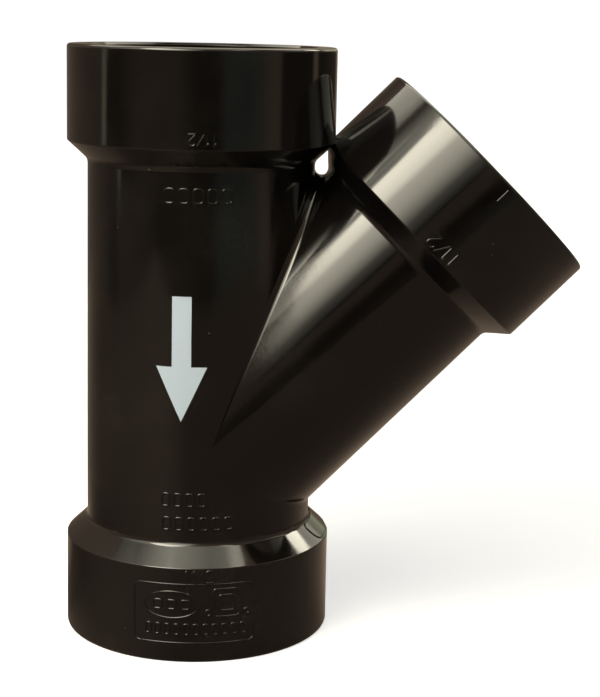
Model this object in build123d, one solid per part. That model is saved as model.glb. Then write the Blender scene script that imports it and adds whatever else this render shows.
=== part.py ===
from build123d import *
import os
from math import cos, radians, sin, sqrt

os.makedirs("parts", exist_ok=True)

# A 45 degree drain wye for 1.5 inch pipe, moulded in one piece.
# The origin is the centre of the lower socket's mouth, +Z runs up through the fitting
# and the branch leans towards +X.

# Pipe and sockets
pipe_diameter = 48.26
socket_gap = 0.06
socket_depth = 17.5
mouth_bevel = 0.5
flow_diameter = 40.9

# Walls outside the passages
hub_wall = 4.5
body_wall = 3.9

# Lengths along the run
run_length = 126.4
run_hub_length = 20.2
cone_length = 4.0

# Branch
branch_angle = 45.0
branch_height = 38.15
branch_reach = 88.0
branch_hub_length = 21.0

# Roundings of the outside; the small one at each rim is drawn as narrow bevels
rim_round = 0.7
rim_bevels = 3
cone_foot_round = 2.0
crease_round = 1.6

# Gate pad on the lower cone under the branch, where the plastic entered the mould
pad_width = 20.2
pad_step = 0.3
pad_margin = 0.35
pad_corner_round = 1.4
pad_root = 2.0

socket_radius = pipe_diameter / 2 + socket_gap
flow_radius = flow_diameter / 2
hub_radius = socket_radius + hub_wall
body_radius = flow_radius + body_wall

# A collar carries this much plain body past its cone, so that it joins the tube over a length
collar_overlap = 2.0

# Turned shapes start and end on the side away from the lower crotch
back_turn = 180.0

lean = radians(branch_angle)
branch_plane = Plane(
    origin=(0, 0, branch_height),
    x_dir=(cos(lean), 0, -sin(lean)),
    z_dir=(sin(lean), 0, cos(lean)),
)


def rounded_face(corners):
    """Flat profile in the XZ plane from (x, z, rounding) corners."""
    face = make_face(Polyline(*[(x, 0, z) for x, z, r in corners], close=True))
    for size in sorted({r for x, z, r in corners if r > 0}):
        wanted = [(x, z) for x, z, r in corners if r == size]
        picked = [
            v
            for v in face.vertices()
            if any(sqrt((v.X - x) ** 2 + (v.Z - z) ** 2) < 0.001 for x, z in wanted)
        ]
        face = fillet(picked, size)
    return face


def on_run(corners):
    return Rot(0, 0, back_turn) * revolve(rounded_face(corners), axis=Axis.Z)


def on_branch(corners):
    return branch_plane.location * on_run(corners)


def tube(radius, length):
    return [(0, 0, 0), (radius, 0, 0), (radius, length, 0), (0, length, 0)]


def collar(mouth, inward, hub_length):
    """Hub, cone and a little body around one mouth; inward is +1 or -1 along the axis."""
    hub_edge = mouth + inward * hub_length
    cone_end = hub_edge + inward * cone_length
    inner_end = cone_end + inward * collar_overlap
    rim = []
    for step in range(rim_bevels + 1):
        turn = radians(90 * step / rim_bevels)
        across = hub_radius - rim_round * (1 - sin(turn))
        along = mouth + inward * rim_round * (1 - cos(turn))
        rim.append((across, along, 0))
    return (
        [(0, mouth, 0)]
        + rim
        + [
            (hub_radius, hub_edge, 0),
            (body_radius, cone_end, cone_foot_round),
            (body_radius, inner_end, 0),
            (0, inner_end, 0),
        ]
    )


def socket(mouth, inward):
    """Space for the pipe at one mouth, down to the stop; inward is +1 or -1 along the axis."""
    bevel_end = mouth + inward * mouth_bevel
    stop = mouth + inward * socket_depth
    return [
        (0, mouth, 0),
        (socket_radius + mouth_bevel, mouth, 0),
        (socket_radius, bevel_end, 0),
        (socket_radius, stop, 0),
        (0, stop, 0),
    ]


# Outside: two crossing tubes with rounded creases, then a collar at each mouth
outside = on_run(tube(body_radius, run_length)) + on_branch(tube(body_radius, branch_reach))
creases = [e for e in outside.edges() if e.geom_type == GeomType.ELLIPSE and e.length > hub_wall]
outside = fillet(creases, crease_round)
outside = outside + on_run(collar(0, 1, run_hub_length))
outside = outside + on_run(collar(run_length, -1, run_hub_length))
outside = outside + on_branch(collar(branch_reach, -1, branch_hub_length))

# Gate pad: a thin rounded plate that follows the lower cone
cone_foot = run_hub_length + cone_length
pad_ring = on_run(
    [
        (body_radius - pad_root, run_hub_length, 0),
        (hub_radius, run_hub_length, 0),
        (hub_radius, run_hub_length + pad_step, 0),
        (body_radius, cone_foot + pad_step, 0),
        (body_radius - pad_root, cone_foot + pad_step, 0),
    ]
)
pad_outline = Plane.YZ * Pos(0, (run_hub_length + cone_foot) / 2) * RectangleRounded(
    pad_width, cone_length - 2 * pad_margin, pad_corner_round
)
outside = outside + (pad_ring & extrude(pad_outline, hub_radius + pad_root))

# Passages: two crossing flow bores with a socket at each of the three mouths
passages = on_run(tube(flow_radius, run_length)) + on_branch(tube(flow_radius, branch_reach))
passages = passages + on_run(socket(0, 1)) + on_run(socket(run_length, -1))
passages = passages + on_branch(socket(branch_reach, -1))

wye_body = outside - passages
wye_body.label = "wye_body"
export_step(wye_body, "parts/wye_body.step")
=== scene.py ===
import bpy
from math import asin, atan2, ceil, cos, pi, radians, sin, tan
from mathutils import Matrix, Vector
from mathutils.kdtree import KDTree


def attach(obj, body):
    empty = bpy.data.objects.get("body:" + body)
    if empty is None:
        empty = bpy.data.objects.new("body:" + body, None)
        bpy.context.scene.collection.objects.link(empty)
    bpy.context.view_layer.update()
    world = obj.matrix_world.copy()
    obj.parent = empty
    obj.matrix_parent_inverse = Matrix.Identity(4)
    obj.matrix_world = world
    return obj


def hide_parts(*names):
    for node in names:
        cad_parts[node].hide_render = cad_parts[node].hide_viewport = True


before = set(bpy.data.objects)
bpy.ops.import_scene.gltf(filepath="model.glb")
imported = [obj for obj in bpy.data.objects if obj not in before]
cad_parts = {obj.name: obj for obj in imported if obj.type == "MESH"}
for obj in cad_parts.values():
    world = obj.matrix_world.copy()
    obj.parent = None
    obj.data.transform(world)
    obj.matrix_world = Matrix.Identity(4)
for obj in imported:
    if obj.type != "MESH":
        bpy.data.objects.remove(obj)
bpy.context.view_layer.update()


# The moulded body: one hollow moulding of black drain plastic, a run with a socket hub at each
# end and a branch with a third hub. It was shot in one go into a polished mould whose halves met
# at mid-depth, so its edges are slightly round and its skin is glossy, with light scuffs.
mm = 0.001
run_length = 126.4
run_hub_length = 20.2
branch_hub_length = 21.0
branch_height = 38.15
branch_reach = 88.0
cone_length = 4.0
hub_radius = 28.69
body_radius = 24.35
socket_radius = 24.19
flow_radius = 20.45
socket_depth = 17.5
mouth_bevel = 0.5
rim_round = 0.7
hub_edge_round = 0.45
cone_foot_round = 2.0
crease_round = 1.6
flow_crease_round = 0.5
small_edge_round = 0.12
branch_lean = radians(45)
columns = 180
crease_steps = 10
low_run_rows = 2
high_run_rows = 3
branch_rows = 3
arc_step = radians(12)
merge_reach = 0.003
places_kept = 3
flow_overlap = 1.0
collar_reach = 0.2
no_share = 0.0001
foot_turn = atan2(hub_radius - body_radius, cone_length)
foot_reach = cone_foot_round * tan(foot_turn / 2)

half_lean = branch_lean / 2
depth = Vector((0, 1, 0))
run_axis = Vector((0, 0, 1))
run_right = Vector((1, 0, 0))
branch_axis = Vector((sin(branch_lean), 0, cos(branch_lean)))
branch_right = Vector((cos(branch_lean), 0, -sin(branch_lean)))
branch_foot = Vector((0, 0, branch_height))


class Skin:
    """Faces with exact normals at their corners. Corners at one place become one vertex."""

    def __init__(self):
        self.faces = []

    def sheet(self, rows):
        """Faces between neighbouring rows of (place, normal) corners."""
        for row, next_row in zip(rows, rows[1:]):
            for i in range(len(row) - 1):
                self.faces.append((row[i], row[i + 1], next_row[i + 1], next_row[i]))

    def finished(self, name):
        """A piece at the origin in metres, with its faces turned the way their normals look."""
        places = []
        number_at = {}
        for face in self.faces:
            for place, normal in face:
                key = place.to_tuple(places_kept)
                if key not in number_at:
                    number_at[key] = len(places)
                    places.append(place)
        tree = KDTree(len(places))
        for number, place in enumerate(places):
            tree.insert(place, number)
        tree.balance()
        merged = [min(hit[1] for hit in tree.find_range(place, merge_reach)) for place in places]

        rings = []
        normals = []
        for face in self.faces:
            ring = []
            for place, normal in face:
                number = merged[number_at[place.to_tuple(places_kept)]]
                if number not in [corner[0] for corner in ring]:
                    ring.append((number, normal))
            if len(ring) > 2:
                corners = (ring[0], ring[1], ring[2], ring[-1])
                a, b, c, d = (places[corner[0]] for corner in corners)
                looks = (c - a).cross(d - b) if len(ring) == 4 else (b - a).cross(c - a)
                if looks.dot(sum((corner[1] for corner in ring), Vector())) < 0:
                    ring.reverse()
                rings.append([corner[0] for corner in ring])
                normals.extend(corner[1] for corner in ring)

        used = sorted({number for ring in rings for number in ring})
        place_of = {number: i for i, number in enumerate(used)}
        mesh = bpy.data.meshes.new(name)
        mesh.from_pydata([places[number] * mm for number in used], [],
                         [[place_of[number] for number in ring] for ring in rings])
        mesh.polygons.foreach_set("use_smooth", [True] * len(mesh.polygons))
        mesh.normals_split_custom_set(normals)
        piece = bpy.data.objects.new(name, mesh)
        bpy.context.scene.collection.objects.link(piece)
        return piece


def rounded_profile(points):
    """Stretches from (along, radius, rounding) points: the places and normals of both ends."""
    stretches = []
    last = Vector(points[0][:2])
    for before, here, after in zip(points, points[1:], points[2:]):
        corner = Vector(here[:2])
        into = (corner - Vector(before[:2])).normalized()
        out_of = (Vector(after[:2]) - corner).normalized()
        turn = atan2(into.x * out_of.y - into.y * out_of.x, into.dot(out_of))
        side = 1 if turn > 0 else -1
        start = corner - into * here[2] * tan(abs(turn) / 2)
        normal = Vector((-into.y, into.x))
        stretches.append((last, start, normal, normal))
        centre = start + normal * side * here[2]
        steps = ceil(abs(turn) / arc_step)
        last = start
        first_normal = normal
        for step in range(1, steps + 1):
            next_normal = Matrix.Rotation(turn * step / steps, 2) @ first_normal
            place = centre - next_normal * side * here[2]
            stretches.append((last, place, normal, next_normal))
            last, normal = place, next_normal
    stretches.append((last, Vector(points[-1][:2]), normal, normal))
    return stretches


def turned(skin, origin, axis, right, stretches, start_of_column=None):
    """Turn profile stretches about an axis; a column may start later than the profile does."""
    for a, b, normal_a, normal_b in stretches:
        rows = []
        for number in range(columns + 1):
            angle = 2 * pi * number / columns
            out = right * cos(angle) + depth * sin(angle)
            start = start_of_column(angle) if start_of_column else a[0]
            row = []
            for (along, radius), normal in ((a, normal_a), (b, normal_b)):
                if start_of_column and along < start and radius < body_radius + collar_reach:
                    along = start
                    radius = body_radius
                    normal = Vector((0, 1))
                row.append((
                    origin + axis * along + out * radius,
                    (axis * normal[0] + out * normal[1]).normalized(),
                ))
            rows.append(row)
        skin.sheet(rows)


def crossing_tubes(skin, radius, rounding, low_end, high_end, branch_end, facing):
    """Skin of the run and branch tubes where they cross, with a rounded crease between them.

    It faces outwards where facing is 1 and into the passages where facing is -1.
    """
    reach = radius + rounding

    def column_rows(origin, axis, right, start, end, count):
        rows = []
        for number in range(columns + 1):
            angle = 2 * pi * number / columns
            out = right * cos(angle) + depth * sin(angle)
            first = start(angle) if callable(start) else start
            last = end(angle) if callable(end) else end
            rows.append([
                (origin + axis * (first + (last - first) * i / count) + out * radius, out * facing)
                for i in range(count + 1)
            ])
        return rows

    def lower_crease(angle):
        return branch_height - reach * max(cos(angle), 0) * tan(half_lean)

    def upper_crease(angle):
        return branch_height + reach * max(cos(angle), 0) / tan(half_lean)

    def branch_start(angle):
        upper = max(cos(angle), 0) / tan(half_lean)
        lower = max(-cos(angle), 0) * tan(half_lean)
        return reach * (upper + lower)

    def branch_stop(angle):
        return max(branch_end, branch_start(angle))

    skin.sheet(column_rows(
        Vector(), run_axis, run_right, low_end, lower_crease, low_run_rows))
    skin.sheet(column_rows(
        Vector(), run_axis, run_right, upper_crease, high_end, high_run_rows))
    skin.sheet(column_rows(
        branch_foot, branch_axis, -branch_right, branch_start, branch_stop, branch_rows))
    for side_of_branch in (1, -1):
        rows = []
        for number in range(-columns // 4, columns // 4 + 1):
            angle = 2 * pi * number / columns
            share = max(cos(angle), 0)
            height = share / tan(half_lean) if side_of_branch > 0 else -share * tan(half_lean)
            run_out = run_right * cos(angle) + depth * sin(angle)
            branch_out = -branch_right * cos(angle) * side_of_branch + depth * sin(angle)
            centre = run_right * reach * share + depth * reach * sin(angle)
            centre += run_axis * (branch_height + reach * height)
            row = []
            for step in range(crease_steps + 1):
                if share < no_share:
                    ball_ray = -run_out
                else:
                    ball_ray = (-run_out).slerp(-branch_out, step / crease_steps)
                row.append((centre + ball_ray * rounding, -ball_ray * facing))
            rows.append(row)
        skin.sheet(rows)


def arm_profile(hub_length, inner_end):
    """Profile of one mouth from its cone's foot over the rim to the end of its socket."""
    foot = -(hub_length + cone_length)
    return rounded_profile([
        (foot - foot_reach, body_radius, 0),
        (foot, body_radius, cone_foot_round),
        (-hub_length, hub_radius, hub_edge_round),
        (0, hub_radius, rim_round),
        (0, socket_radius + mouth_bevel, small_edge_round),
        (-mouth_bevel, socket_radius, small_edge_round),
        (-socket_depth, socket_radius, small_edge_round),
        (-socket_depth, flow_radius, 2 * small_edge_round),
        (inner_end, flow_radius, 0),
    ])


body_skin = Skin()
run_top = Vector((0, 0, run_length))
branch_mouth = branch_foot + branch_axis * branch_reach
plain_foot = run_hub_length + cone_length + foot_reach
branch_plain_end = branch_reach - branch_hub_length - cone_length - foot_reach
flow_end = socket_depth + flow_overlap
crossing_tubes(body_skin, body_radius, crease_round, plain_foot, run_length - plain_foot,
               branch_plain_end, 1)
crossing_tubes(body_skin, flow_radius, flow_crease_round, flow_end, run_length - flow_end,
               branch_reach - flow_end, -1)
turned(body_skin, Vector(), -run_axis, run_right, arm_profile(run_hub_length, -flow_end))
turned(body_skin, run_top, run_axis, run_right, arm_profile(run_hub_length, -flow_end))


def crease_start(angle):
    """Where the branch's skin starts, from the branch's mouth, beside the upper crotch."""
    return (body_radius + crease_round) * max(cos(angle), 0) / tan(half_lean) - branch_reach


turned(body_skin, branch_mouth, branch_axis, -branch_right,
       arm_profile(branch_hub_length, -flow_end), crease_start)
body = body_skin.finished("moulded_body")


def add(tree, kind, inputs=None, **settings):
    """A new node with its settings made first, then its inputs set or linked by name or number."""
    node = tree.nodes.new(kind)
    for name, value in settings.items():
        setattr(node, name, value)
    for name, value in (inputs or {}).items():
        if isinstance(value, bpy.types.NodeSocket):
            tree.links.new(value, node.inputs[name])
        else:
            node.inputs[name].default_value = value
    return node


def maths(tree, operation, *values):
    """Result of a maths node on numbers or sockets."""
    return add(tree, "ShaderNodeMath", dict(enumerate(values)), operation=operation).outputs[0]


def blend(tree, share, one, two):
    """Colour between two colours."""
    mix = add(tree, "ShaderNodeMix", {"Factor": share, "A": one, "B": two}, data_type="RGBA")
    return mix.outputs["Result"]


def between(tree, value, low, high, to_low=0.0, to_high=1.0, **settings):
    """A value's place between low and high, put between two other values and held there."""
    return add(tree, "ShaderNodeMapRange", {
        "Value": value, "From Min": low, "From Max": high, "To Min": to_low, "To Max": to_high,
    }, **settings).outputs["Result"]


def new_socket(tree, name, kind, in_out="INPUT", value=None):
    """A named input or output of a node group; returns its identifier."""
    socket = tree.interface.new_socket(name, in_out=in_out, socket_type=kind)
    if value is not None:
        socket.default_value = value
    return socket.identifier


dots_per_metre = 330.0
dot_rim = 0.065
dot_middle = 0.035
fine_texture_share = 0.02


def wear_group():
    """Masks of handling wear: smears, fine scratches, dust and film, and a height of the skin."""
    tree = bpy.data.node_groups.new("handling wear", "ShaderNodeTree")
    new_socket(tree, "Place", "NodeSocketVector")
    for name in ("Smears", "Scratches", "Specks", "Film", "Skin"):
        new_socket(tree, name, "NodeSocketFloat", "OUTPUT")
    place = tree.nodes.new("NodeGroupInput").outputs["Place"]

    def noise(scale, detail, stretch=(1, 1, 1), turn=(0, 0, 0)):
        """Cloudy pattern over the place, turned by degrees and drawn finer where stretched."""
        turned_place = add(tree, "ShaderNodeMapping", {
            "Vector": place,
            "Rotation": [radians(angle) for angle in turn],
            "Scale": stretch,
        }).outputs["Vector"]
        inputs = {"Vector": turned_place, "Scale": scale, "Detail": detail}
        return add(tree, "ShaderNodeTexNoise", inputs).outputs["Fac"]

    def mask(low, high, scale, detail=2.0, stretch=(1, 1, 1), turn=(0, 0, 0)):
        """Where noise rises from a low level, which is clear, to a high one, which is full."""
        return between(tree, noise(scale, detail, stretch, turn), low, high)

    smears = mask(0.35, 0.75, scale=70.0, detail=5.0)

    # Two families of long thin lines at odd angles, kept to patches
    along = mask(0.70, 0.76, scale=22.0, stretch=(45, 45, 1.6), turn=(14, -52, 20))
    around = mask(0.70, 0.76, scale=24.0, stretch=(1.8, 40, 40), turn=(-17, 23, 31))
    patches = mask(0.50, 0.62, scale=60.0)
    scratches = maths(tree, "MULTIPLY", maths(tree, "MAXIMUM", along, around), patches)

    # One small dot in some of the cells
    cells = add(tree, "ShaderNodeTexVoronoi", {"Vector": place, "Scale": dots_per_metre})
    dots = between(tree, cells.outputs["Distance"], dot_rim, dot_middle)
    specks = maths(tree, "MULTIPLY", dots, mask(0.56, 0.60, scale=140.0))

    # Broad patches of thin film, broken up finely
    film_patches = mask(0.47, 0.68, scale=38.0, detail=5.0)
    grain = mask(0.34, 0.70, scale=1900.0, detail=5.0, stretch=(1, 1, 0.6))
    film = maths(tree, "MULTIPLY", film_patches, grain)

    # Slow waves of the moulded skin with a trace of fine texture
    waves = noise(scale=42.0, detail=1.0)
    skin = maths(tree, "MULTIPLY_ADD", noise(scale=900.0, detail=2.0), fine_texture_share, waves)
    add(tree, "NodeGroupOutput", {
        "Smears": smears, "Scratches": scratches, "Specks": specks, "Film": film, "Skin": skin,
    })
    return tree


handling_wear = wear_group()
cloud_scale = 30.0
cloud_detail = 4.0
scratch_dust = 0.04
film_dust = 0.12
film_haze = 0.09
dust_haze = 0.25
clean_share = 0.85
smeared_share = 1.9
wave_height = 0.0003
scratch_depth = 0.00002
scratch_strength = 0.12


def worn_material(name, dark, light, dust, roughness, ior, waviness):
    """Smooth plastic or ink in two close tones, with the shared handling wear."""
    material = bpy.data.materials.new(name)
    material.use_nodes = True
    tree = material.node_tree
    shader = tree.nodes["Principled BSDF"]
    shader.inputs["IOR"].default_value = ior
    place = tree.nodes.new("ShaderNodeTexCoord").outputs["Object"]
    wear = add(tree, "ShaderNodeGroup", {"Place": place}, node_tree=handling_wear).outputs

    clouds = add(tree, "ShaderNodeTexNoise", {
        "Vector": place, "Scale": cloud_scale, "Detail": cloud_detail,
    })
    tone = blend(tree, clouds.outputs["Fac"], dark, light)
    rubbed = maths(tree, "MULTIPLY", wear["Scratches"], scratch_dust)
    marked = maths(tree, "MAXIMUM", rubbed, wear["Specks"])
    filmed = maths(tree, "MULTIPLY", wear["Film"], film_dust)
    colour = blend(tree, maths(tree, "MAXIMUM", marked, filmed), tone, dust)
    tree.links.new(colour, shader.inputs["Base Color"])

    smeared = between(tree, wear["Smears"], 0.0, 1.0,
                      roughness * clean_share, roughness * smeared_share)
    hazed = maths(tree, "MULTIPLY_ADD", wear["Film"], film_haze, smeared)
    rough = maths(tree, "MULTIPLY_ADD", marked, dust_haze, hazed)
    tree.links.new(rough, shader.inputs["Roughness"])

    waves = add(tree, "ShaderNodeBump", {
        "Height": wear["Skin"], "Strength": waviness, "Distance": wave_height,
    })
    cuts = add(tree, "ShaderNodeBump", {
        "Height": wear["Scratches"], "Strength": scratch_strength, "Distance": scratch_depth,
        "Normal": waves.outputs["Normal"],
    })
    tree.links.new(cuts.outputs["Normal"], shader.inputs["Normal"])
    return material


black_plastic = worn_material(
    "moulded black plastic",
    dark=(0.0022, 0.0018, 0.0019, 1.0),
    light=(0.0036, 0.0030, 0.0027, 1.0),
    dust=(0.09, 0.08, 0.06, 1.0),
    roughness=0.07,
    ior=1.5,
    waviness=0.35,
)
body.data.materials.append(black_plastic)
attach(body, "root")
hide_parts("wye_body")


# The gate pad.
# A thin plate on the lower cone, under the branch, where the plastic entered the mould.
# The sprue was cut off flush there, so the plate has a flat face and a soft shoulder all round.
pad_half_width = 10.1
pad_low = 20.55
pad_high = 23.85
pad_corner_round = 1.4
pad_lift = 0.21
pad_shoulder = 0.22
pad_root = 0.25
pad_corner_steps = 10
pad_edge_steps = 24
pad_end_steps = 3
pad_shoulder_steps = 6
pad_face_rings = 8
cone_slope = atan2(cone_length, hub_radius - body_radius)
corner_sides = [(1, 1), (-1, 1), (-1, -1), (1, -1)]


def pad_outline(inset):
    """Points round the plate as seen from the branch's side: (across, up)."""
    half = (pad_high - pad_low) / 2 - inset
    wide = pad_half_width - inset
    corner = pad_corner_round - inset
    points = []
    for number, (side_y, side_z) in enumerate(corner_sides):
        for step in range(pad_corner_steps + 1):
            angle = radians(90 * (number + step / pad_corner_steps))
            points.append((side_y * (wide - corner) + corner * cos(angle),
                           side_z * (half - corner) + corner * sin(angle)))
        following = corner_sides[(number + 1) % 4]
        steps = pad_edge_steps if following[1] == side_z else pad_end_steps
        begin = points[-1]
        angle = radians(90 * (number + 1))
        finish = (following[0] * (wide - corner) + corner * cos(angle),
                  following[1] * (half - corner) + corner * sin(angle))
        for step in range(1, steps):
            points.append((begin[0] + (finish[0] - begin[0]) * step / steps,
                           begin[1] + (finish[1] - begin[1]) * step / steps))
    return points + points[:1]


def on_cone(across, up, lift):
    """Place over the lower cone and the cone's own normal there."""
    height = (pad_low + pad_high) / 2 + up
    radius = hub_radius - (height - run_hub_length) / tan(cone_slope)
    angle = asin(across / radius)
    out = run_right * cos(angle) + depth * sin(angle)
    normal = out * sin(cone_slope) + run_axis * cos(cone_slope)
    return out * radius + run_axis * height + normal * lift, normal


pad_skin = Skin()
pad_rings = [(0.0, -pad_root, 0.0), (0.0, pad_lift - pad_shoulder, 0.0)]
for step in range(1, pad_shoulder_steps + 1):
    angle = radians(90 * step / pad_shoulder_steps)
    pad_rings.append((pad_shoulder * (1 - cos(angle)),
                      pad_lift - pad_shoulder * (1 - sin(angle)), sin(angle)))
pad_rows = []
for inset, lift, flatness in pad_rings:
    row = []
    edge = pad_outline(inset)
    for i, (across, up) in enumerate(edge):
        ahead = edge[(i + 1) % (len(edge) - 1)]
        behind = edge[(i - 1) % (len(edge) - 1)]
        place, normal = on_cone(across, up, lift)
        heading = on_cone(*ahead, lift)[0] - on_cone(*behind, lift)[0]
        outwards = heading.cross(normal).normalized()
        looks = outwards * (1 - flatness ** 2) ** 0.5 + normal * flatness
        row.append((place, looks.normalized()))
    pad_rows.append(row)
pad_skin.sheet(pad_rows)
for side_lift in (pad_lift, -pad_root):
    inset = pad_shoulder if side_lift > 0 else 0.0
    edge = pad_outline(inset)
    flat_rows = []
    for ring in range(pad_face_rings + 1):
        share = 1 - ring / pad_face_rings
        row = []
        for across, up in edge:
            place, normal = on_cone(across * share, up * share, side_lift)
            row.append((place, normal if side_lift > 0 else -normal))
        flat_rows.append(row)
    pad_skin.sheet(flat_rows)
gate_pad = pad_skin.finished("gate_pad")
gate_pad.data.materials.append(black_plastic)
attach(gate_pad, "root")


# The raised marks of the mould.
# Size numbers, rows of small boxes, a framed panel with plain shapes, and ticks. They were
# engraved in the mould, so they stand up from the skin as fine rounded ridges of the same plastic.
mark_width = 0.00052
mark_height = 0.00024
mark_spacing = 0.00022
mark_end_share = 0.45
mark_sides = 12
panel_line_width = 0.00038
panel_line_height = 0.00018
tick_width = 0.0004
tick_height = 0.00013


def stroke_group():
    """Repeat flat strokes in a row, give them a raised round section and wrap them on a tube."""
    tree = bpy.data.node_groups.new("raised strokes", "GeometryNodeTree")
    sockets = {"Geometry": new_socket(tree, "Geometry", "NodeSocketGeometry")}
    lengths = {"Pitch": 0.002, "Stroke width": mark_width, "Stroke height": mark_height,
               "Point spacing": mark_spacing, "Tube radius": hub_radius * mm}
    for name, value in lengths.items():
        sockets[name] = new_socket(tree, name, "NodeSocketFloat", value=value)
    sockets["Count"] = new_socket(tree, "Count", "NodeSocketInt", value=1)
    sockets["Material"] = new_socket(tree, "Material", "NodeSocketMaterial")
    new_socket(tree, "Geometry", "NodeSocketGeometry", "OUTPUT")
    start = tree.nodes.new("NodeGroupInput").outputs

    def vector(x=0.0, y=0.0, z=0.0):
        return add(tree, "ShaderNodeCombineXYZ", {"X": x, "Y": y, "Z": z}).outputs["Vector"]

    # A row of copies, centred across
    half_row = maths(tree, "MULTIPLY", maths(tree, "SUBTRACT", start["Count"], 1.0), -0.5)
    row = add(tree, "GeometryNodeMeshLine", {
        "Count": start["Count"],
        "Start Location": vector(maths(tree, "MULTIPLY", half_row, start["Pitch"])),
        "Offset": vector(start["Pitch"]),
    }, mode="OFFSET")
    copies = add(tree, "GeometryNodeInstanceOnPoints", {
        "Points": row.outputs["Mesh"], "Instance": start["Geometry"],
    })
    real = add(tree, "GeometryNodeRealizeInstances", {"Geometry": copies.outputs["Instances"]})

    # Even points along each stroke, narrower at its ends
    lines = add(tree, "GeometryNodeMeshToCurve", {"Mesh": real.outputs["Geometry"]})
    even = add(tree, "GeometryNodeResampleCurve", {
        "Curve": lines.outputs["Curve"], "Length": start["Point spacing"],
    }, mode="LENGTH")
    upright = add(tree, "GeometryNodeSetCurveNormal", {"Curve": even.outputs["Curve"]},
                  mode="Z_UP")
    tapered = add(tree, "GeometryNodeSetCurveRadius", {
        "Curve": upright.outputs["Curve"],
        "Selection": tree.nodes.new("GeometryNodeCurveEndpointSelection").outputs["Selection"],
        "Radius": mark_end_share,
    })

    # A half-sunk oval section
    ring = add(tree, "GeometryNodeCurvePrimitiveCircle", {
        "Resolution": mark_sides, "Radius": 1.0,
    })
    half_width = maths(tree, "MULTIPLY", start["Stroke width"], 0.5)
    section = add(tree, "GeometryNodeTransform", {
        "Geometry": ring.outputs["Curve"],
        "Scale": vector(half_width, start["Stroke height"], 1.0),
    })
    sweep = add(tree, "GeometryNodeCurveToMesh", {
        "Curve": tapered.outputs["Curve"], "Profile Curve": section.outputs["Geometry"],
        "Fill Caps": True,
    })

    # Right becomes the turn round the tube, up runs along it, and out is the lift
    here = tree.nodes.new("GeometryNodeInputPosition").outputs["Position"]
    flat = add(tree, "ShaderNodeSeparateXYZ", {"Vector": here}).outputs
    angle = maths(tree, "DIVIDE", flat["X"], start["Tube radius"])
    radius = maths(tree, "ADD", flat["Z"], start["Tube radius"])
    right = maths(tree, "MULTIPLY", maths(tree, "SINE", angle), radius)
    forward = maths(tree, "MULTIPLY", maths(tree, "COSINE", angle), radius)
    back = maths(tree, "MULTIPLY", forward, -1.0)
    wrap = add(tree, "GeometryNodeSetPosition", {
        "Geometry": sweep.outputs["Mesh"], "Position": vector(right, back, flat["Y"]),
    })
    smooth = add(tree, "GeometryNodeSetShadeSmooth", {"Geometry": wrap.outputs["Geometry"]})
    paint = add(tree, "GeometryNodeSetMaterial", {
        "Geometry": smooth.outputs["Geometry"], "Material": start["Material"],
    })
    add(tree, "NodeGroupOutput", {"Geometry": paint.outputs["Geometry"]})
    return tree, sockets


raised_strokes, stroke_sockets = stroke_group()
on_run = Matrix.Identity(4)
on_branch = Matrix((branch_right, depth, branch_axis)).transposed().to_4x4()
on_branch.translation = branch_foot * mm


def raised_marks(name, strokes, tube_radius, tube=on_run, count=1, pitch=1.0, width=mark_width,
                 height=mark_height, spacing=mark_spacing):
    """Strokes drawn flat in mm as (right, up, out) points, raised and wrapped round a tube."""
    places = []
    edges = []
    for stroke in strokes:
        first = len(places)
        closed = stroke[0] == stroke[-1] and len(stroke) > 2
        points = stroke[:-1] if closed else stroke
        places.extend(Vector((*point, 0.0)[:3]) * mm for point in points)
        edges.extend((first + i, first + i + 1) for i in range(len(points) - 1))
        if closed:
            edges.append((first + len(points) - 1, first))
    flat = bpy.data.meshes.new(name)
    flat.from_pydata(places, edges, [])
    drawing = bpy.data.objects.new(name, flat)
    bpy.context.scene.collection.objects.link(drawing)
    modifier = drawing.modifiers.new("strokes", "NODES")
    modifier.node_group = raised_strokes
    for socket, value in (("Count", count), ("Pitch", pitch * mm), ("Stroke width", width),
                          ("Stroke height", height), ("Point spacing", spacing),
                          ("Tube radius", tube_radius * mm), ("Material", black_plastic)):
        modifier[stroke_sockets[socket]] = value
    depsgraph = bpy.context.evaluated_depsgraph_get()
    mesh = bpy.data.meshes.new_from_object(drawing.evaluated_get(depsgraph), depsgraph=depsgraph)
    drawing.modifiers.remove(modifier)
    mesh.transform(tube)
    drawing.data = mesh
    mesh.name = name
    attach(drawing, "root")


def ellipse(middle_x, middle_y, half_width, half_height, steps=48):
    """Closed outline of an oval."""
    turns = [2 * pi * (i % steps) / steps for i in range(steps + 1)]
    return [(middle_x + half_width * cos(a), middle_y + half_height * sin(a)) for a in turns]


def box(middle_x, middle_y, width, height, corner):
    """Outline of a box with rounded corners."""
    points = []
    steps = 4
    for number, (side_x, side_y) in enumerate(corner_sides):
        for step in range(steps + 1):
            angle = radians(90 * (number + step / steps))
            points.append((middle_x + side_x * (width / 2 - corner) + corner * cos(angle),
                           middle_y + side_y * (height / 2 - corner) + corner * sin(angle)))
    return points + points[:1]


def placed(strokes, middle_x, middle_y, scale, upside_down=False):
    """Strokes scaled and moved to a middle, and turned half round where upside_down."""
    turn = -1 if upside_down else 1
    return [[(middle_x + turn * scale * x, middle_y + turn * scale * y) for x, y in stroke]
            for stroke in strokes]


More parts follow.
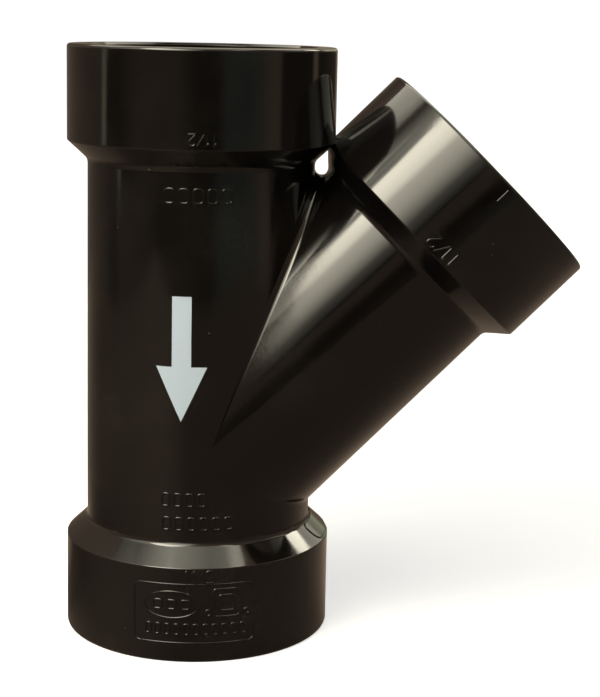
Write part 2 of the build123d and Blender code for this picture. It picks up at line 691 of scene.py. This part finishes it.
# The nominal pipe size, one and a half, about its own middle and one unit high
size_numbers = [
    [(-1.22, 0.28), (-1.02, 0.5), (-1.02, -0.5)],
    [(-0.58, 0.28), (-0.38, 0.5), (-0.38, -0.5)],
    [(-0.22, -0.5), (0.38, 0.5)],
    [(0.56, 0.26), (0.62, 0.42), (0.78, 0.5), (0.98, 0.49), (1.12, 0.38), (1.13, 0.2),
     (1.02, 0.02), (0.54, -0.5), (1.18, -0.5)],
]
raised_marks("size_on_top_hub", placed(size_numbers, 0.3, 108.3, 2.3, True), hub_radius)
raised_marks("size_on_low_hub", placed(size_numbers, 0.65, 18.5, 2.5), hub_radius)
raised_marks("size_on_branch_hub", placed(size_numbers, -0.17, 69.07, 3.0, True), hub_radius,
             on_branch)
raised_marks("panel_frame", [box(-0.35, 10.6, 25.7, 12.6, 1.3)], hub_radius,
             width=panel_line_width, height=panel_line_height)
raised_marks("panel_shapes", [
    ellipse(-5.1, 12.45, 5.8, 2.85),
    box(6.4, 12.9, 5.7, 5.9, 0.7),
    box(6.4, 12.9, 3.1, 3.3, 0.5),
    ellipse(2.55, 10.8, 0.62, 0.62, 16),
    ellipse(10.8, 10.7, 0.62, 0.62, 16),
], hub_radius)
box_rows = [
    ("boxes_in_oval", box(-5.1, 12.5, 1.75, 1.9, 0.4), hub_radius, 3, 2.9),
    ("boxes_on_panel", box(0.0, 7.2, 1.15, 2.2, 0.4), hub_radius, 11, 2.0),
    ("boxes_under_print", box(-2.85, 33.5, 1.6, 2.6, 0.5), body_radius, 4, 2.5),
    ("boxes_at_foot", box(0.1, 28.4, 1.6, 2.6, 0.5), body_radius, 6, 2.6),
    ("boxes_under_top_hub", box(-0.35, 96.7, 1.9, 2.9, 0.6), body_radius, 5, 2.95),
]
for name, outline, tube_radius, count, pitch in box_rows:
    raised_marks(name, [outline], tube_radius, count=count, pitch=pitch)
raised_marks("run_ticks", [[(-0.05, 2.2), (-0.05, 4.1)], [(0.22, 124.3), (0.22, 125.7)]],
             hub_radius)
raised_marks("branch_tick", [[(0.4, 83.7), (0.4, 86.8)]], hub_radius, on_branch,
             width=tick_width, height=tick_height)


# The parting line.
# A hair-fine ridge of flash where the two mould halves met, at mid-depth along both tubes.
# It runs over hubs, cones and body, and stops short of the rims and creases.
flash_width = 0.00022
flash_height = 0.00005
flash_spacing = 0.0008
side_of_run = pi / 2 * body_radius
hub_step = hub_radius - body_radius
rim_gap = 0.9
upper_crotch_gap = 1.5
lower_crotch_gap = 0.3


def seam_line(side, start, end, mouths):
    """Heights of the skin over the plain tube along one side; mouths are (mouth, hub edge)."""
    stops = [start, end]
    for mouth, edge in mouths:
        inward = 1 if edge > mouth else -1
        for level in (edge, edge + inward * cone_length):
            if start < level < end:
                stops.append(level)
    points = []
    for stop in sorted(stops):
        lift = 0.0
        for mouth, edge in mouths:
            inward = 1 if edge > mouth else -1
            share = min(max(1 - (stop - edge) * inward / cone_length, 0), 1)
            lift = max(lift, hub_step * share)
        points.append((side, stop, lift))
    return points


run_mouths = [(0.0, run_hub_length), (run_length, run_length - run_hub_length)]
branch_mouths = [(branch_reach, branch_reach - branch_hub_length)]
crotch_high = (body_radius + crease_round) / tan(half_lean)
crotch_low = (body_radius + crease_round) * tan(half_lean)
high_start = branch_height + crotch_high + upper_crotch_gap
flash = {"width": flash_width, "height": flash_height, "spacing": flash_spacing}
raised_marks("parting_line_of_run", [
    seam_line(-side_of_run, rim_gap, run_length - rim_gap, run_mouths),
    seam_line(side_of_run, rim_gap, run_hub_length, run_mouths),
    seam_line(side_of_run, high_start, run_length - rim_gap, run_mouths),
], body_radius, **flash)
branch_stop = branch_reach - rim_gap
raised_marks("parting_line_of_branch", [
    seam_line(-side_of_run, crotch_high + upper_crotch_gap, branch_stop, branch_mouths),
    seam_line(side_of_run, crotch_low + lower_crotch_gap, branch_stop, branch_mouths),
], body_radius, on_branch, **flash)


# The printed arrow.
# A flow arrow pad-printed on the front of the run in white ink, a thin film on the skin.
# It is plain and points down the drain; the ink is matt and a little thin in places.
arrow_middle = -3.5
arrow_top = 76.2
arrow_foot = 50.1
arrow_head = 11.5
arrow_half_width = 5.3
shaft_half_width = 2.0
ink_lift = 0.03
ink_tuck = -0.03
arrow_columns = 16
head_rows = 8
shaft_rows = 4

# Levels and half widths from the point up; the top is listed twice so that its edge tucks in
shaft_foot = arrow_foot + arrow_head
levels = []
for i in range(head_rows + 1):
    share = i / head_rows
    levels.append((arrow_foot + arrow_head * share, arrow_half_width * share))
for i in range(shaft_rows + 1):
    share = i / shaft_rows
    levels.append((shaft_foot + (arrow_top - shaft_foot) * share, shaft_half_width))
levels.append(levels[-1])
arrow_skin = Skin()
arrow_rows = []
for number, (level, half) in enumerate(levels):
    tucked_row = number == len(levels) - 1
    row = []
    for column in range(-1, arrow_columns + 2):
        share = min(max(column, 0), arrow_columns) / arrow_columns * 2 - 1
        tucked = tucked_row or column in (-1, arrow_columns + 1)
        angle = (arrow_middle + half * share) / body_radius
        out = run_right * sin(angle) - depth * cos(angle)
        place = out * (body_radius + (ink_tuck if tucked else ink_lift)) + run_axis * level
        row.append((place, out))
    arrow_rows.append(row)
arrow_skin.sheet(arrow_rows)
flow_arrow = arrow_skin.finished("flow_arrow")
white_ink = worn_material(
    "white printing ink",
    dark=(0.46, 0.55, 0.66, 1.0),
    light=(0.54, 0.63, 0.74, 1.0),
    dust=(0.30, 0.28, 0.25, 1.0),
    roughness=0.45,
    ior=1.45,
    waviness=0.2,
)
flow_arrow.data.materials.append(white_ink)
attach(flow_arrow, "root")


# The floor and the table reflection.
# A pale paper sheet under the fitting, which the camera sees as white paper with a soft shadow.
# The gloss mirrors a glowing sheet in place of the dim brown table the fitting stood on: a painted
# reflection whose tones hold painted light and painted shade.
floor_size = 8.0
floor_colour = (0.85, 0.85, 0.85, 1.0)
white = (1.0, 1.0, 1.0, 1.0)
floor_glow_near = 0.62
floor_glow_far = 1.0
glow_near_reach = 0.25
glow_far_reach = 1.0
table_size = 0.86
table_gap = 0.0004
# Reaches over which the painted shade and light near the fitting fade into the far tones of the
# table reflection
near_tone_reach = 0.07
far_tone_reach = 0.14

bpy.ops.mesh.primitive_plane_add(size=floor_size)
floor = bpy.context.object
floor.name = "floor"
paper = bpy.data.materials.new("floor paper")
paper.use_nodes = True
tree = paper.node_tree
sheet = tree.nodes["Principled BSDF"]
sheet.inputs["Base Color"].default_value = floor_colour
sheet.inputs["Roughness"].default_value = 0.9
sheet.inputs["Specular IOR Level"].default_value = 0.0
place = tree.nodes.new("ShaderNodeTexCoord").outputs["Object"]
away = add(tree, "ShaderNodeVectorMath", {0: place}, operation="LENGTH").outputs["Value"]
glow_level = between(tree, away, glow_near_reach, glow_far_reach, floor_glow_near, floor_glow_far)
rays = tree.nodes.new("ShaderNodeLightPath")
white_paper = add(tree, "ShaderNodeEmission", {
    "Color": white,
    "Strength": maths(tree, "MULTIPLY", rays.outputs["Is Camera Ray"], glow_level),
})
lit_paper = add(tree, "ShaderNodeAddShader", {
    0: sheet.outputs["BSDF"], 1: white_paper.outputs["Emission"],
})
tree.links.new(lit_paper.outputs["Shader"], tree.nodes["Material Output"].inputs["Surface"])
floor.data.materials.append(paper)
floor.visible_glossy = False


def brown(level):
    """Warm brown of a given brightness."""
    return (1.30 * level, 0.97 * level, 0.70 * level)


def grey_green(level):
    """Cool grey green of a given brightness."""
    return (0.90 * level, 1.05 * level, 0.95 * level)


def olive(level):
    """Yellowish daylight of a given brightness."""
    return (1.02 * level, 1.05 * level, 0.72 * level)


def bearing_of(tree, direction):
    """Bearing of a direction from 0 to 1: 0.5 is the camera's side and 0.75 the right."""
    split = add(tree, "ShaderNodeSeparateXYZ", {"Vector": direction}).outputs
    towards_camera = maths(tree, "MULTIPLY", split["Y"], -1.0)
    bearing = maths(tree, "ARCTAN2", split["X"], towards_camera)
    return between(tree, bearing, -pi, pi)


def tones(tree, share, stops):
    """Colours along a ramp; each stop is (place from 0 to 1, colour)."""
    ramp = tree.nodes.new("ShaderNodeValToRGB")
    elements = ramp.color_ramp.elements
    while len(elements) > 1:
        elements.remove(elements[-1])
    for number, (place, colour) in enumerate(stops):
        element = elements[0] if number == 0 else elements.new(place)
        element.position = place
        element.color = (*colour, 1.0)
    tree.links.new(share, ramp.inputs["Fac"])
    return ramp.outputs["Color"]


def bearing_tones(tree, share, fields):
    """Colours by bearing; each field is (first bearing, last bearing, colour), soft in between."""
    stops = []
    for first, last, colour in fields:
        stops += [((first + 180) / 360, colour), ((last + 180) / 360, colour)]
    return tones(tree, share, stops)


# A glowing sheet seen only by the gloss, standing in for the table: its colours are a painted
# reflection of a lit and shaded table, not lit by the lamps
bpy.ops.mesh.primitive_plane_add(size=table_size, location=(0.0, 0.0, -table_gap))
table = bpy.context.object
table.name = "painted table reflection"
painted_table_light = bpy.data.materials.new("dim painted table reflection")
painted_table_light.use_nodes = True
tree = painted_table_light.node_tree
tree.nodes.remove(tree.nodes["Principled BSDF"])
place = tree.nodes.new("ShaderNodeTexCoord").outputs["Object"]
bearing = bearing_of(tree, place)
# Painted light: lighter towards the window at the front left and towards the one behind on the
# right; the tones near the fitting differ from the far ones as painted shade and painted light
near_painted_light_and_shade = bearing_tones(tree, bearing, [
    (-180, -152, brown(0.37)), (-118, -98, brown(0.075)), (-45, -28, brown(0.28)),
    (-8, 85, brown(0.16)), (128, 140, brown(0.32)), (166, 180, brown(0.15)),
])
far_painted_light_and_shade = bearing_tones(tree, bearing, [
    (-180, -142, brown(0.165)), (-122, -110, brown(0.12)), (-45, -30, brown(0.34)),
    (-8, 105, brown(0.17)), (120, 135, brown(0.21)), (162, 180, brown(0.13)),
])
# Painted shade and light near the fitting: the near tones fade into the far ones with distance
distance = add(tree, "ShaderNodeVectorMath", {0: place}, operation="LENGTH").outputs["Value"]
farness = between(tree, distance, near_tone_reach, far_tone_reach)
painted_table_glow = add(tree, "ShaderNodeEmission", {
    "Color": blend(tree, farness, near_painted_light_and_shade, far_painted_light_and_shade),
})
tree.links.new(painted_table_glow.outputs["Emission"], tree.nodes["Material Output"].inputs["Surface"])
table.data.materials.append(painted_table_light)
table.visible_camera = False
table.visible_diffuse = False
table.visible_transmission = False
table.visible_shadow = False


# The lights.
# Soft panels round the fitting: a strong one near on the upper left, a wide one overhead and
# small windows behind on the right. Dimmer cards are seen only by the gloss.
fitting_middle = Vector((0.03, 0.0, 0.075))
warm_white = (1.0, 0.94, 0.76, 1.0)
overhead = 1.075
matt_share = 0.65
nearly_upright = 0.01


def soft_panel(name, middle, facing, width, height, strength, across=None, upwards=None,
               roll=0.0, matt_share=matt_share):
    """A glowing sheet with its middle at a place, turned to face another place.

    Levels across and upwards are (place, level) stops, with places from -0.5 to 0.5 of the sheet.
    The gloss mirrors the sheet at its strength. Matt surfaces get a share of it, which keeps
    the lighting at a plain level.
    """
    back = (Vector(middle) - Vector(facing)).normalized()
    side = Vector((0, 0, 1)).cross(back)
    right = side.normalized() if side.length > nearly_upright else Vector((1, 0, 0))
    up = back.cross(right).normalized()
    turn = Matrix((right, up, back)).transposed().to_4x4() @ Matrix.Rotation(radians(roll), 4, "Z")
    size = Matrix.Diagonal((width, height, 1, 1))
    for use, use_strength in (("gloss", strength), ("light", strength * matt_share)):
        if use_strength == 0:
            continue
        bpy.ops.mesh.primitive_plane_add(size=1.0)
        panel = bpy.context.object
        panel.name = f"{name} {use}"
        panel.matrix_world = Matrix.Translation(middle) @ turn @ size
        glow_material = bpy.data.materials.new(panel.name)
        glow_material.use_nodes = True
        tree = glow_material.node_tree
        tree.nodes.remove(tree.nodes["Principled BSDF"])
        place = tree.nodes.new("ShaderNodeTexCoord").outputs["Object"]
        split = add(tree, "ShaderNodeSeparateXYZ", {"Vector": place}).outputs
        level = use_strength
        for axis, stops in (("X", across), ("Y", upwards)):
            if stops:
                share = maths(tree, "ADD", split[axis], 0.5)
                greys = [(at + 0.5, (value, value, value)) for at, value in stops]
                level = maths(tree, "MULTIPLY", tones(tree, share, greys), level)
        glow = add(tree, "ShaderNodeEmission", {"Color": warm_white, "Strength": level})
        tree.links.new(glow.outputs["Emission"], tree.nodes["Material Output"].inputs["Surface"])
        panel.data.materials.append(glow_material)
        panel.visible_camera = False
        panel.visible_shadow = False
        panel.visible_diffuse = use == "light"
        panel.visible_glossy = use == "gloss"


def seen_at(azimuth, elevation, distance):
    """A place seen from the fitting; azimuth 0 is the camera's side, 90 the branch's side."""
    az = radians(azimuth)
    el = radians(elevation)
    return fitting_middle + distance * Vector((cos(el) * sin(az), -cos(el) * cos(az), sin(el)))


soft_panel("left panel", seen_at(-27.7, 35.5, 0.42), fitting_middle,
           width=0.225, height=0.485, strength=19.0, roll=42,
           across=[(-0.5, 1.0), (0.2, 1.0), (0.5, 0.2)],
           upwards=[(-0.5, 0.0), (-0.32, 0.05), (-0.1, 0.33), (0.06, 0.45), (0.14, 0.8),
                    (0.3, 1.0)])
soft_panel("wall beside the left panel", seen_at(-70, 38, 0.46), fitting_middle,
           width=0.38, height=0.20, strength=5.5, matt_share=0.0,
           across=[(-0.5, 0.12), (-0.1, 0.4), (-0.085, 0.95), (-0.06, 0.42), (0.02, 0.45),
                   (0.03, 0.85), (0.045, 0.45), (0.12, 0.5), (0.14, 1.0), (0.17, 0.5)])
soft_panel("wall above the branch", seen_at(99, 43, 1.2), fitting_middle,
           width=0.5, height=0.62, strength=2.0, matt_share=0.0,
           across=[(-0.5, 0.5), (0.5, 1.0)])
soft_panel("overhead panel", (-0.28, -0.25, overhead), (-0.28, -0.25, 0.0),
           width=1.55, height=0.75, strength=6.2,
           across=[(-0.5, 0.3), (-0.2, 0.45), (0.0, 0.68), (0.12, 0.52), (0.26, 0.33),
                   (0.38, 0.38), (0.44, 0.95)],
           upwards=[(0.08, 1.0), (0.5, 0.0)])
soft_panel("ceiling behind", (0.0, 0.75, overhead), (0.0, 0.75, 0.0),
           width=1.8, height=1.1, strength=3.6, matt_share=0.0,
           upwards=[(-0.5, 0.6), (-0.3, 1.0), (0.5, 0.8)])
soft_panel("window behind", seen_at(125.5, 34, 1.5), fitting_middle,
           width=0.26, height=0.36, strength=13.0)
soft_panel("wall below the window", seen_at(138, 20, 1.5), fitting_middle,
           width=0.36, height=0.36, strength=2.0)


# The room.
# White where the camera looks past the floor. The gloss sees a dim warm room instead: a few
# plain tones round the horizon, with the dark of the camera in front, and a paler ceiling.
room_daylight = (0.12, 0.12, 0.12, 1.0)
ceiling = (*brown(0.48), 1.0)
world = bpy.data.worlds.new("room")
bpy.context.scene.world = world
world.use_nodes = True
tree = world.node_tree
place = tree.nodes.new("ShaderNodeTexCoord").outputs["Generated"]
bearing = bearing_of(tree, place)
height = add(tree, "ShaderNodeSeparateXYZ", {"Vector": place}).outputs["Z"]
height_angle = maths(tree, "ARCSINE", height)


def by_height(low, high, below, above):
    """Blend from one tone to another between two heights above the horizon in degrees."""
    share = between(tree, height_angle, radians(low), radians(high),
                    interpolation_type="SMOOTHSTEP")
    return blend(tree, share, below, above)


# Below the horizon: low furniture on the left, the dark of the camera stand, a lit skirting
dado = bearing_tones(tree, bearing, [
    (-180, -115, brown(0.12)), (-99, -94, brown(0.07)), (-86, -62, brown(0.16)),
    (-42, 8, brown(0.052)), (22, 54, grey_green(0.18)), (66, 70, brown(0.27)),
    (80, 92, brown(0.05)), (106, 180, brown(0.12)),
])
# At the horizon: a narrow window at the left, a dark cupboard, the camera, a pale curtain with
# a lit edge, and an open door with a lit frame
walls = bearing_tones(tree, bearing, [
    (-180, -176, brown(0.20)), (-165, -92.5, brown(0.14)), (-91, -87.5, olive(0.75)),
    (-86.5, -73, brown(0.032)), (-54, -20, brown(0.148)), (-4, 12, brown(0.016)),
    (22, 42, grey_green(0.145)), (63, 68, brown(0.30)), (72, 106, brown(0.045)),
    (109, 113, brown(0.35)), (116, 155, brown(0.045)), (161, 180, brown(0.21)),
])
# Above it: pale walls, with a high window behind on the right
upper_walls = bearing_tones(tree, bearing, [
    (-180, -162, brown(0.10)), (-110, -40, brown(0.41)), (-20, 40, brown(0.20)),
    (90, 130, brown(0.35)), (147, 162, olive(0.75)), (170, 180, brown(0.20)),
])
room = by_height(-6.5, -5.0, dado, walls)
room = by_height(-1.0, 5.0, room, upper_walls)
room = by_height(20.0, 50.0, room, ceiling)

rays = tree.nodes.new("ShaderNodeLightPath").outputs
by_gloss = blend(tree, rays["Is Glossy Ray"], room_daylight, room)
looked_at = maths(tree, "MAXIMUM", rays["Is Camera Ray"], rays["Is Transmission Ray"])
tree.links.new(blend(tree, looked_at, by_gloss, white), tree.nodes["Background"].inputs["Color"])


# The camera.
# A little above the top rim and slightly to the left, looking down along the run.
# Its place, turn, focal length and picture middle were solved from the outline in the photo.
camera_place = Vector((0.0037856, -0.3584566, 0.1333064))
camera_yaw = radians(-3.2201)
camera_pitch = radians(-8.8938)
camera_roll = radians(-1.1891)
focal_pixels = 1667.8093
picture_middle_right = 10.7794
picture_middle_up = 73.0975
image_height = 697.0
sensor_height = 24.0
nearest_seen = 0.01
lens_data = bpy.data.cameras.new("camera")
camera = bpy.data.objects.new("camera", lens_data)
bpy.context.scene.collection.objects.link(camera)
camera_turn = (
    Matrix.Rotation(camera_yaw, 4, "Z")
    @ Matrix.Rotation(camera_pitch, 4, "X")
    @ Matrix.Rotation(camera_roll, 4, "Y")
    @ Matrix.Rotation(radians(90), 4, "X")
)
camera.matrix_world = Matrix.Translation(camera_place) @ camera_turn
lens_data.sensor_fit = "VERTICAL"
lens_data.sensor_height = sensor_height
lens_data.lens = focal_pixels * sensor_height / image_height
lens_data.shift_x = -picture_middle_right / image_height
lens_data.shift_y = -picture_middle_up / image_height
lens_data.clip_start = nearest_seen
bpy.context.scene.camera = camera
bpy.context.scene.view_settings.view_transform = "Standard"
